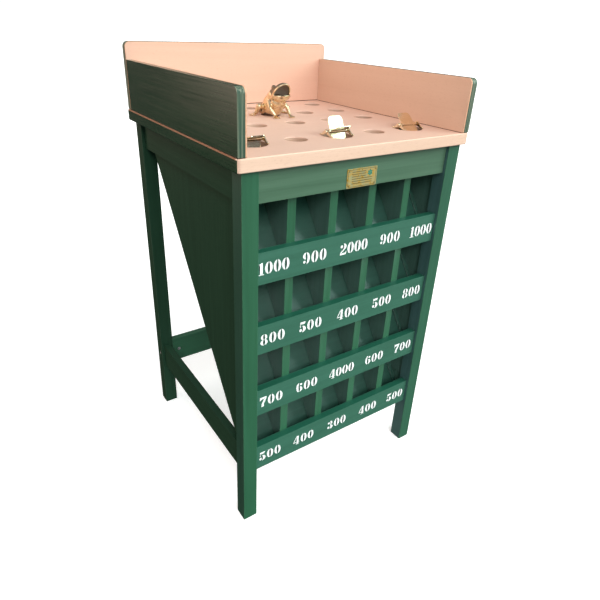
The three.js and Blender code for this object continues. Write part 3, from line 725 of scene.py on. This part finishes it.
SIX = [
    bowl(0.33, 0.5, 0.33, 0.5, -1, 0.105),
    bowl(0.335, 0.29, 0.32, 0.29, 1, 0.09),
    dot(0.50, 0.79, 0.115),
]
DIGITS = {
    "0": (0.66, [bowl(0.33, 0.5, 0.33, 0.5, side, 0.105) for side in (-1, 1)]),
    "1": (0.45, [
        [(0.11, 0.08), (0.34, 0.08), (0.34, 1.0), (0.24, 1.0), (0.02, 0.88), (0.02, 0.83), (0.11, 0.85)],
        bar(0.0, 0.0, 0.45, 0.05),
    ]),
    "2": (0.67, [
        dot(0.15, 0.74, 0.13),
        arc(0.30, 0.72, 0.34, 0.28, 86, -40) + [(0.18, 0.20), (0.02, 0.20), (0.29, 0.46)]
        + arc(0.30, 0.72, 0.10, 0.245, -40, 70),
        [(0.02, 0.0), (0.60, 0.0), (0.67, 0.30), (0.63, 0.30), (0.56, 0.19), (0.42, 0.155), (0.02, 0.165)],
    ]),
    "3": (0.64, [
        bowl(0.27, 0.755, 0.30, 0.245, 1, 0.08),
        bowl(0.27, 0.25, 0.37, 0.25, 1, 0.10),
        dot(0.13, 0.76, 0.12),
        dot(0.12, 0.22, 0.13),
    ]),
    "4": (0.68, [
        bar(0.36, 0.08, 0.57, 1.0),
        [(0.32, 1.0), (0.0, 0.34), (0.08, 0.34), (0.32, 0.84)],
        bar(0.0, 0.23, 0.32, 0.305),
        bar(0.61, 0.23, 0.68, 0.305),
        bar(0.28, 0.0, 0.65, 0.045),
    ]),
    "5": (0.65, [
        [(0.07, 0.80), (0.50, 0.80), (0.60, 1.0), (0.07, 1.0)],
        bar(0.07, 0.50, 0.12, 0.765),
        bowl(0.26, 0.315, 0.39, 0.315, 1, 0.11),
        dot(0.13, 0.23, 0.13),
    ]),
    "6": (0.66, SIX),
    "7": (0.64, [
        [(0.0, 0.68), (0.05, 0.68), (0.11, 0.80), (0.64, 0.84), (0.64, 1.0), (0.0, 1.0)],
        [(0.14, 0.0), (0.38, 0.0), (0.38, 0.28), (0.63, 0.80), (0.40, 0.78), (0.18, 0.32)],
    ]),
    "8": (0.66, [
        bowl(0.33, 0.745, 0.29, 0.255, side, 0.095, wall=0.012) for side in (-1, 1)
    ] + [bowl(0.33, 0.26, 0.33, 0.26, side, 0.10, wall=0.012) for side in (-1, 1)]),
    "9": (0.66, [[(0.66 - x, 1.0 - y) for x, y in part] for part in SIX]),
}
SCORES = [
    ["1000", "900", "2000", "900", "1000"],
    ["800", "500", "400", "500", "800"],
    ["700", "600", "4000", "600", "700"],
    ["500", "400", "300", "400", "500"],
]
DIGIT_HEIGHT = 26 * MM
STENCIL_PLACES = [x * MM for x in (-203, -106, -2, 103, 202)]
PAINT_FILM = 0.25 * MM


def build_number(text, centre_x, middle_z, face_y, name):
    widths = [DIGITS[digit][0] for digit in text]
    space = 0.09 if len(text) > 3 else 0.15
    start = -(sum(widths) + space * (len(text) - 1)) / 2
    depths = (face_y - PAINT_FILM, face_y - 0.02 * MM)
    bm = bmesh.new()
    for digit, width in zip(text, widths):
        for part in DIGITS[digit][1]:
            places = [
                (centre_x + (start + x) * DIGIT_HEIGHT, middle_z + (z - 0.5) * DIGIT_HEIGHT) for x, z in part
            ]
            rings = [[bm.verts.new((x, y, z)) for x, z in places] for y in depths]
            bm.faces.new(rings[0])
            bm.faces.new(reversed(rings[1]))
            for i in range(len(part)):
                j = (i + 1) % len(part)
                bm.faces.new((rings[0][i], rings[0][j], rings[1][j], rings[1][i]))
        start += width + space
    bmesh.ops.triangulate(bm, faces=[face for face in bm.faces if len(face.verts) > 4])
    bmesh.ops.recalc_face_normals(bm, faces=bm.faces)
    piece(name, bm, [WHITE])


def build_numbers():
    for row, scores in enumerate(SCORES):
        _, (face, _), (low, high) = extents(f"score_rail_{row + 1}")
        for column, (text, place) in enumerate(zip(scores, STENCIL_PLACES)):
            build_number(text, place, (low + high) / 2, face, f"score_{row + 1}_{column + 1}")


# ---------------------------------------------------------------- brass plate
SUNK = 0.25  # the relief starts this share of the plate's thickness behind its CAD face
PLATE_PIN = [(r * MM, h * MM) for r, h in ((0, -0.2), (1.5, -0.2), (1.5, 0.1), (1.1, 0.5), (0, 0.62))]


def build_plate():
    (left, right), (face, back), (low, high) = extents("front_plate")
    radii = (1.5 * MM,) * 4
    sheet = lambda grow: (lambda inset: rounded_rectangle(
        left + grow, right - grow, low + grow, high - grow, radii, inset))
    thickness = back - face
    bm = slab([sheet(0.0)], 0, thickness * 0.75, 0.25 * MM)
    stand_up(bm, "y")
    bmesh.ops.translate(bm, vec=(0, back, 0), verts=bm.verts)
    piece("plate", bm, [PLATE_BRASS], replaces=["front_plate"])

    def relief(name, outlines, material):
        """Raised work on the plate, each part a closed low block."""
        made = bmesh.new()
        for points in outlines:
            part = slab([lambda inset, points=points: points], 0, thickness * 0.2, 0.0, rounds=1)
            stand_up(part, "y")
            bmesh.ops.translate(part, vec=(0, face + thickness * SUNK, 0), verts=part.verts)
            merge(made, part)
        bmesh.ops.remove_doubles(made, verts=made.verts, dist=1e-6)
        piece(name, made, [material])

    width, height = right - left, high - low
    spot = lambda u, v: (left + u * width, low + v * height)

    def strip(u0, v0, u1, v1):
        (x0, z0), (x1, z1) = spot(u0, v0), spot(u1, v1)
        return bar(x0, z0, x1, z1)

    frame_bars = [
        strip(0.03, 0.05, 0.97, 0.075), strip(0.03, 0.925, 0.97, 0.95),
        strip(0.03, 0.10, 0.043, 0.90), strip(0.957, 0.10, 0.97, 0.90),
    ]
    relief("plate_border", frame_bars, DARK_BRASS)
    bars = [strip(0.16, 0.80 - 0.12 * i, 0.62 + 0.22 * (i > 2), 0.84 - 0.12 * i) for i in range(6)]
    relief("plate_bars", bars, DARK_BRASS)
    cx, cz = spot(0.76, 0.70)
    petals = []
    for i in range(6):
        turn = math.radians(60 * i + 30)
        out, across = Vector((math.cos(turn), math.sin(turn))), Vector((-math.sin(turn), math.cos(turn)))
        widest, side = out * 4 * MM, across * 2.2 * MM
        points = [out * 0.4 * MM, widest + side, out * 7.4 * MM, widest - side]
        petals.append([(cx + p.x, cz + p.y) for p in points])
    relief("plate_rosette", petals, LEAF_ENAMEL)
    for i, (u, v) in enumerate(((0.07, 0.13), (0.93, 0.13), (0.07, 0.87), (0.93, 0.87))):
        x, z = spot(u, v)
        bm = lathe(PLATE_PIN, Vector((x, face + thickness * SUNK, z)), Vector((0, -1, 0)), 20)
        piece(f"plate_pin_{i + 1}", bm, [DARK_BRASS])


# ---------------------------------------------------------------- screws and axles
SCREW_RADIUS = 1.7 * MM
SLOT_ANGLES = {"left": 37, "right": 81}
SHANK_RADIUS = 2.15 * MM
HEAD_LENGTH = 3 * MM
HEAD_COLLAR = 0.2 * MM


def build_screw(name, place, radius, slot_angle):
    """A domed screw head with a cut slot."""
    foot, brim, shoulder, top = -0.3 * MM, 0.1 * MM, 0.55 * MM, 0.8 * MM
    profile = [(0, foot), (radius, foot), (radius, brim), (radius * 0.8, shoulder), (0, top)]
    made = piece(name, lathe(profile, Vector(place), sides=28), [SHEET_BRASS])
    cutter = bmesh.new()
    bmesh.ops.create_cube(cutter, size=1.0)
    shape = Matrix.Diagonal((radius * 3, 0.5 * MM, 0.8 * MM, 1.0))
    turn = Matrix.Rotation(math.radians(slot_angle), 4, "Z")
    lift = Matrix.Translation(Vector(place) + Vector((0, 0, 0.85 * MM)))
    bmesh.ops.transform(cutter, matrix=lift @ turn @ shape, verts=cutter.verts)
    carve(made, cutter)


def build_mill_screws():
    for label in MILLS:
        for end in ("left", "right"):
            (left, right), (front, back), (low, _) = extents(f"{label}_mill_bracket_{end}")
            for spot, y in (("front", front + 3 * MM), ("rear", back - 3 * MM)):
                place = ((left + right) / 2, y, low + 2.0 * MM)
                build_screw(f"{label}_mill_screw_{end}_{spot}", place, SCREW_RADIUS, SLOT_ANGLES[end])


def build_mill_pin(label):
    """The fixed axle with a domed head at each end."""
    node = f"{label}_mill_pin"
    (left, right), (_, _), (low, high) = extents(node)
    centre = middle_of(node)
    half, head = (right - left) / 2, (high - low) / 2
    shank_end = half - HEAD_LENGTH - HEAD_COLLAR
    turns = [math.pi / 2 * i / 7 for i in range(7)]
    dome = [(head * math.cos(t), half - HEAD_LENGTH + HEAD_LENGTH * math.sin(t)) for t in turns]
    tip = [(head, shank_end)] + dome + [(0.0, half)]
    profile = [(radius, -height) for radius, height in reversed(tip)]
    profile += [(SHANK_RADIUS, -shank_end), (SHANK_RADIUS, shank_end)] + tip
    bm = lathe(profile, centre, Vector((1, 0, 0)), 28)
    piece(f"{label}_axle", bm, [SHEET_BRASS], replaces=[node])


# ---------------------------------------------------------------- frog
# Built in millimetres about the middle of its hole, facing -Y, then moved to the CAD frog's place.
FROG_REACH = 63 * MM  # from the front of the jaws back to the middle of the hole
JAW_HINGE = Matrix.Translation((0.5, -44, 50))
JAWS = {
    "upper": JAW_HINGE @ Matrix.Rotation(math.radians(-57), 4, "X"),
    "lower": JAW_HINGE @ Matrix.Rotation(math.radians(180), 4, "X"),
}
THROAT = Matrix.Translation((0, -32, 46)) @ Matrix.Rotation(math.radians(31), 4, "X")


class Masses:
    """Overlapping closed solids, to be melted into one skin."""

    def __init__(self):
        self.points = []
        self.faces = []

    def rings(self, matrix, profile, sides=24):
        """A turned solid: (radius, height) rings with flat ends."""
        start = len(self.points)
        for radius, height in profile:
            self.points += [matrix @ Vector((x, y, height)) for x, y in ring(0, 0, radius, sides)]
        for row in range(len(profile) - 1):
            for i in range(sides):
                a, b = start + row * sides + i, start + row * sides + (i + 1) % sides
                self.faces.append((a, b, b + sides, a + sides))
        last = start + (len(profile) - 1) * sides
        self.faces += [tuple(range(start + sides - 1, start - 1, -1)), tuple(range(last, last + sides))]

    def ball(self, centre, radii, tilt=0.0, half=False, matrix=Matrix()):
        """An ellipsoid, or only its upper half."""
        degrees = range(0, 90, 9) if half else range(-89, 90, 10)
        lats = [math.radians(a) for a in degrees] + [math.pi / 2 - 0.01]
        pose = Matrix.Translation(centre) @ Matrix.Rotation(math.radians(tilt), 4, "X")
        self.rings(matrix @ pose @ Matrix.Diagonal((*radii, 1.0)), [(math.cos(t), math.sin(t)) for t in lats])

    def limb(self, *joints):
        """Tapering tubes with ball joints; each joint is a place and a radius."""
        for centre, radius in joints:
            self.ball(centre, (radius, radius, radius))
        for (a, start), (b, end) in zip(joints, joints[1:]):
            a, b = Vector(a), Vector(b)
            turn = (b - a).to_track_quat("Z", "Y").to_matrix().to_4x4()
            self.rings(Matrix.Translation(a) @ turn, [(start, 0.0), (end, (b - a).length)])

    def foot(self, heel, aim, spread, length, radius):
        """Four toes that fan out from a heel; aim is the heading of their middle in degrees."""
        for step in (-1.5, -0.5, 0.5, 1.5):
            heading = math.radians(aim + step * spread)
            reach = length * (1.0 - 0.08 * abs(step))
            tip = (heel[0] + reach * math.cos(heading), heel[1] + reach * math.sin(heading), radius * 0.8)
            self.limb((heel, radius * 1.2), (tip, radius * 0.8))
            self.ball(tip, (radius * 1.25, radius * 1.25, radius * 0.9))

    def object(self, name, voxel):
        mesh = bpy.data.meshes.new(name)
        mesh.from_pydata(self.points, [], self.faces)
        made = bpy.data.objects.new(name, mesh)
        bpy.context.scene.collection.objects.link(made)
        fuse(made, voxel)
        return made


def fuse(target, voxel):
    skin = target.modifiers.new("fuse", "REMESH")
    skin.mode = "VOXEL"
    skin.voxel_size = voxel
    bake_modifiers(target)


def lip(masses, jaw, rx, ry, radius):
    """A rounded bead along the edge of a jaw."""
    front = range(180, 361, 12) if jaw == "upper" else range(0, 181, 12)
    edge = [(rx * math.cos(math.radians(a)), ry * math.sin(math.radians(a)), 0) for a in front]
    masses.limb(*[(JAWS[jaw] @ Vector(point), radius) for point in edge])


def frog_masses():
    frog = Masses()
    frog.ball((0, -12, 25), (26, 26, 34), 37)
    frog.ball((0, -28, 47), (23, 19, 19))
    frog.ball((0, -35, 33), (20, 12, 13))
    frog.ball((0, 6, 13), (26, 25, 17))
    frog.ball((0, 0, 0), (24, 32, 19), half=True, matrix=JAWS["upper"])
    frog.ball((0, 0, 0), (24, 18, 15), half=True, matrix=JAWS["lower"])
    lip(frog, "upper", 22.6, 30.6, 1.6)
    lip(frog, "lower", 22.6, 16.6, 1.7)
    for side in (-1, 1):
        shoulder, elbow, wrist = (side * 17, -24, 31), (side * 24, -37, 21), (side * 20 + 4, -50, 4)
        frog.limb((shoulder, 8.5), (elbow, 4.8))
        frog.limb((elbow, 4.6), (wrist, 3.0))
        frog.foot(wrist, -90 + side * 12, 27, 12, 2.0)
        frog.limb(((side * 17, 14, 14), 12), ((side * 34, -3, 21), 7.6), ((side * 33, 12, 6), 5))
        frog.limb(((side * 33, 12, 5), 4.2), ((side * 43, 6, 3), 3.0))
        frog.foot((side * 42, 6, 2.6), -90 + side * 62, 24, 13, 2.1)
        frog.ball((side * 12, -33, 65.5), (6.0, 6.5, 6.5))
    return frog


def frog_hollows():
    hollow = Masses()
    hollow.ball((0, 0, -0.3), (20.5, 28.5, 15.5), half=True, matrix=JAWS["upper"])
    hollow.ball((0, 0, -0.3), (20.5, 14.5, 11.5), half=True, matrix=JAWS["lower"])
    oval = Matrix.Diagonal((1.0, 31 / 40, 1.0, 1.0))
    hollow.rings(THROAT @ oval, [(20, -70), (20, 0)], 48)
    for side in (-1, 1):  # the crease between thigh and flank
        hollow.limb(((side * 29, -6, 30), 1.6), ((side * 25, 5, 21), 2.4), ((side * 23, 17, 9), 1.6))
    ground = Matrix.Translation((0, 0, -30))
    hollow.rings(ground, [(120, 0), (120, 30)], 32)
    return hollow


def in_mouth(point):
    """Whether a point of the skin lies in the mouth or throat, within the lips."""
    for jaw, radii in (("upper", (21.6, 29.6, 16.6)), ("lower", (21.6, 15.6, 12.6))):
        p = JAWS[jaw].inverted() @ point
        if p.z > 1.4 and sum((p[i] / radii[i]) ** 2 for i in range(3)) < 1.0:
            return True
    p = THROAT.inverted() @ point
    return p.z < 4 and (p.x / 21.2) ** 2 + (p.y / 16.8) ** 2 < 1.0


def on_upper_jaw(point):
    """Whether a point lies on the outside of the upper jaw, behind its polished lip."""
    p = JAWS["upper"].inverted() @ point
    return p.z > 2.6 and p.y < 3


def build_frog():
    """Cast frog: masses melted together, hollowed, then softened like a worn casting."""
    body = frog_masses().object("frog_masses", 1.0)
    hollows = frog_hollows().object("frog_hollows", 1.0)
    hollow = body.modifiers.new("hollow", "BOOLEAN")
    hollow.operation = "DIFFERENCE"
    hollow.solver = "MANIFOLD"
    hollow.object = hollows
    bake_modifiers(body)
    fuse(body, 0.8)
    soften = body.modifiers.new("soften", "SMOOTH")
    soften.factor = 0.5
    soften.iterations = 3
    bake_modifiers(body)
    mesh = body.data
    mesh.materials.clear()
    # the mouth takes its patina, and the top of the upper jaw the brass with the painted dark reflection
    for polygon in mesh.polygons:
        polygon.material_index = 1 if in_mouth(polygon.center) else 2 if on_upper_jaw(polygon.center) else 0
        polygon.use_smooth = True
    low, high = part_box("frog")
    origin = Vector(((low.x + high.x) / 2, low.y + FROG_REACH, low.z))
    mesh.transform(Matrix.Translation(origin) @ Matrix.Scale(MM, 4))
    bpy.data.objects.remove(hollows)
    bpy.data.objects.remove(body)
    piece("cast_frog", mesh, [CAST_BRASS, MOUTH, DARK_JAW_BRASS], replaces=["frog"])


# ---------------------------------------------------------------- camera, light and floor
CAMERA = {
    "place": (-0.68205, -1.02110, 1.09085),
    "yaw": 34.676,
    "pitch": -26.816,
    "roll": 2.339,
    "lens": 30.506,
    "shift": (0.01353, -0.0338),
}


def build_camera():
    data = bpy.data.cameras.new("camera")
    data.lens = CAMERA["lens"]
    data.sensor_width = 36
    data.shift_x, data.shift_y = CAMERA["shift"]
    made = bpy.data.objects.new("camera", data)
    bpy.context.scene.collection.objects.link(made)
    yaw, pitch, roll = (math.radians(CAMERA[key]) for key in ("yaw", "pitch", "roll"))
    forward = Vector((math.sin(yaw) * math.cos(pitch), math.cos(yaw) * math.cos(pitch), math.sin(pitch)))
    level = Vector((math.cos(yaw), -math.sin(yaw), 0))
    above = level.cross(forward)
    right = math.cos(roll) * level + math.sin(roll) * above
    up = -math.sin(roll) * level + math.cos(roll) * above
    turn = Matrix((right, up, -forward)).transposed().to_4x4()
    made.matrix_world = Matrix.Translation(Vector(CAMERA["place"])) @ turn
    bpy.context.scene.camera = made


KEY_FROM = (0.22, -0.76, 0.62)
KEY_STRENGTH = 2.65
KEY_SOFTNESS = 80  # degrees


def build_key_light():
    """One soft sun from above and in front, which leaves no highlight of its own."""
    data = bpy.data.lights.new("key", "SUN")
    data.energy = KEY_STRENGTH
    data.angle = math.radians(KEY_SOFTNESS)
    made = bpy.data.objects.new("key", data)
    made.visible_glossy = False
    made.rotation_mode = "QUATERNION"
    made.rotation_quaternion = Vector(KEY_FROM).to_track_quat("Z", "Y")
    bpy.context.scene.collection.objects.link(made)


# Panels that take the room's place in a direction, each over the ones before it: direction, half
# angle where the panel ends and where it is full (degrees), colour, and the heights between which it
# rises from nothing. The fourth is darker than the room, a screen.
GLOWS = [
    ((-0.35, -0.90, 0.15), 55, 15, (0.30, 0.30, 0.30), (-1.0, -0.9)),
    ((-0.87, 0.50, 0.10), 39, 33, (2.00, 1.50, 1.22), (-0.27, -0.03)),
    ((0.75, -0.50, 0.45), 26, 12, (3.3, 4.6, 4.3), (-1.0, -0.9)),
    ((0.36, -0.81, 0.46), 20, 14, (0.135, 0.112, 0.122), (-1.0, -0.9)),
    ((-0.32, -0.75, 0.57), 14, 9, (8.0, 8.0, 8.0), (-1.0, -0.9)),
]
# brightness of the room from the side away from ROOM_TOWARDS to the side towards it
ROOM = ((0.0, 0.03), (0.35, 0.06), (0.60, 0.30), (0.80, 0.44), (1.0, 0.55))
ROOM_TOWARDS = (0.12, -0.52, 0.84)
ROOM_BLUE = 1.02
BACKDROP = (1.05, 1.05, 1.05, 1.0)


def build_world():
    """White behind the object; for lighting, a grey room that brightens upwards and to the front."""
    world = bpy.data.worlds.new("studio")
    bpy.context.scene.world = world
    world.use_nodes = True
    nodes, links = world.node_tree.nodes, world.node_tree.links
    nodes.clear()
    direction = nodes.new("ShaderNodeTexCoord").outputs["Generated"]

    def facing(towards, low, high):
        dot = nodes.new("ShaderNodeVectorMath")
        dot.operation = "DOT_PRODUCT"
        dot.inputs[1].default_value = Vector(towards).normalized()
        links.new(direction, dot.inputs[0])
        fade = nodes.new("ShaderNodeMapRange")
        fade.interpolation_type = "SMOOTHSTEP" if low > -1.0 else "LINEAR"
        fade.inputs["From Min"].default_value = low
        fade.inputs["From Max"].default_value = high
        links.new(dot.outputs["Value"], fade.inputs["Value"])
        return fade.outputs[0]

    ramp = nodes.new("ShaderNodeValToRGB")
    while len(ramp.color_ramp.elements) < len(ROOM):
        ramp.color_ramp.elements.new(0.5)
    for element, (position, value) in zip(ramp.color_ramp.elements, ROOM):
        element.position = position
        element.color = (value, value, value * ROOM_BLUE, 1.0)
    links.new(facing(ROOM_TOWARDS, -1.0, 1.0), ramp.inputs["Fac"])
    total = ramp.outputs["Color"]
    for towards, outer, inner, colour, heights in GLOWS:
        fade = facing(towards, math.cos(math.radians(outer)), math.cos(math.radians(inner)))
        rise = nodes.new("ShaderNodeMath")
        rise.operation = "MULTIPLY"
        links.new(fade, rise.inputs[0])
        links.new(facing((0, 0, 1), *heights), rise.inputs[1])
        glow = nodes.new("ShaderNodeMix")
        glow.data_type = "RGBA"
        glow.inputs[MIX_SECOND].default_value = (*colour, 1.0)
        links.new(rise.outputs[0], glow.inputs[MIX_FACTOR])
        links.new(total, glow.inputs[MIX_FIRST])
        total = glow.outputs[MIX_COLOUR]
    dome = nodes.new("ShaderNodeBackground")
    links.new(total, dome.inputs["Color"])
    white = nodes.new("ShaderNodeBackground")
    white.inputs["Color"].default_value = BACKDROP
    choice = nodes.new("ShaderNodeMixShader")
    links.new(nodes.new("ShaderNodeLightPath").outputs["Is Camera Ray"], choice.inputs[0])
    links.new(dome.outputs[0], choice.inputs[1])
    links.new(white.outputs[0], choice.inputs[2])
    links.new(choice.outputs[0], nodes.new("ShaderNodeOutputWorld").inputs[0])


FLOOR_REACH = 60.0
FLOOR_GLOW = 0.5  # keeps the floor as white as the photo's background


def build_floor():
    bm = bmesh.new()
    bmesh.ops.create_grid(bm, x_segments=2, y_segments=2, size=FLOOR_REACH)
    mesh = bpy.data.meshes.new("floor")
    bm.to_mesh(mesh)
    bm.free()
    floor = bpy.data.objects.new("floor", mesh)
    bpy.context.scene.collection.objects.link(floor)
    pale = Surface("pale_floor", Roughness=0.9, Specular_IOR_Level=0.1)
    grain = pale.noise((3.0, 3.0, 3.0), detail=3.0)
    colour = pale.ramp(grain, (0.3, (0.88, 0.88, 0.875)), (0.7, (0.91, 0.91, 0.905)))
    pale.set("Base Color", colour)
    pale.set("Emission Color", colour)
    pale.shader.inputs["Emission Strength"].default_value = FLOOR_GLOW
    mesh.materials.append(pale.material)
    floor.visible_diffuse = False
    floor.visible_glossy = False


# ---------------------------------------------------------------- the whole scene
build_deck()
build_side_board("left", -1)
build_side_board("right", 1)
build_back_board()
dress_nodes()
build_numbers()
build_plate()
build_mill_screws()
for mill in MILLS:
    build_mill_pin(mill)
build_frog()
build_camera()
build_key_light()
build_world()
build_floor()
bpy.context.scene.view_settings.view_transform = "Standard"
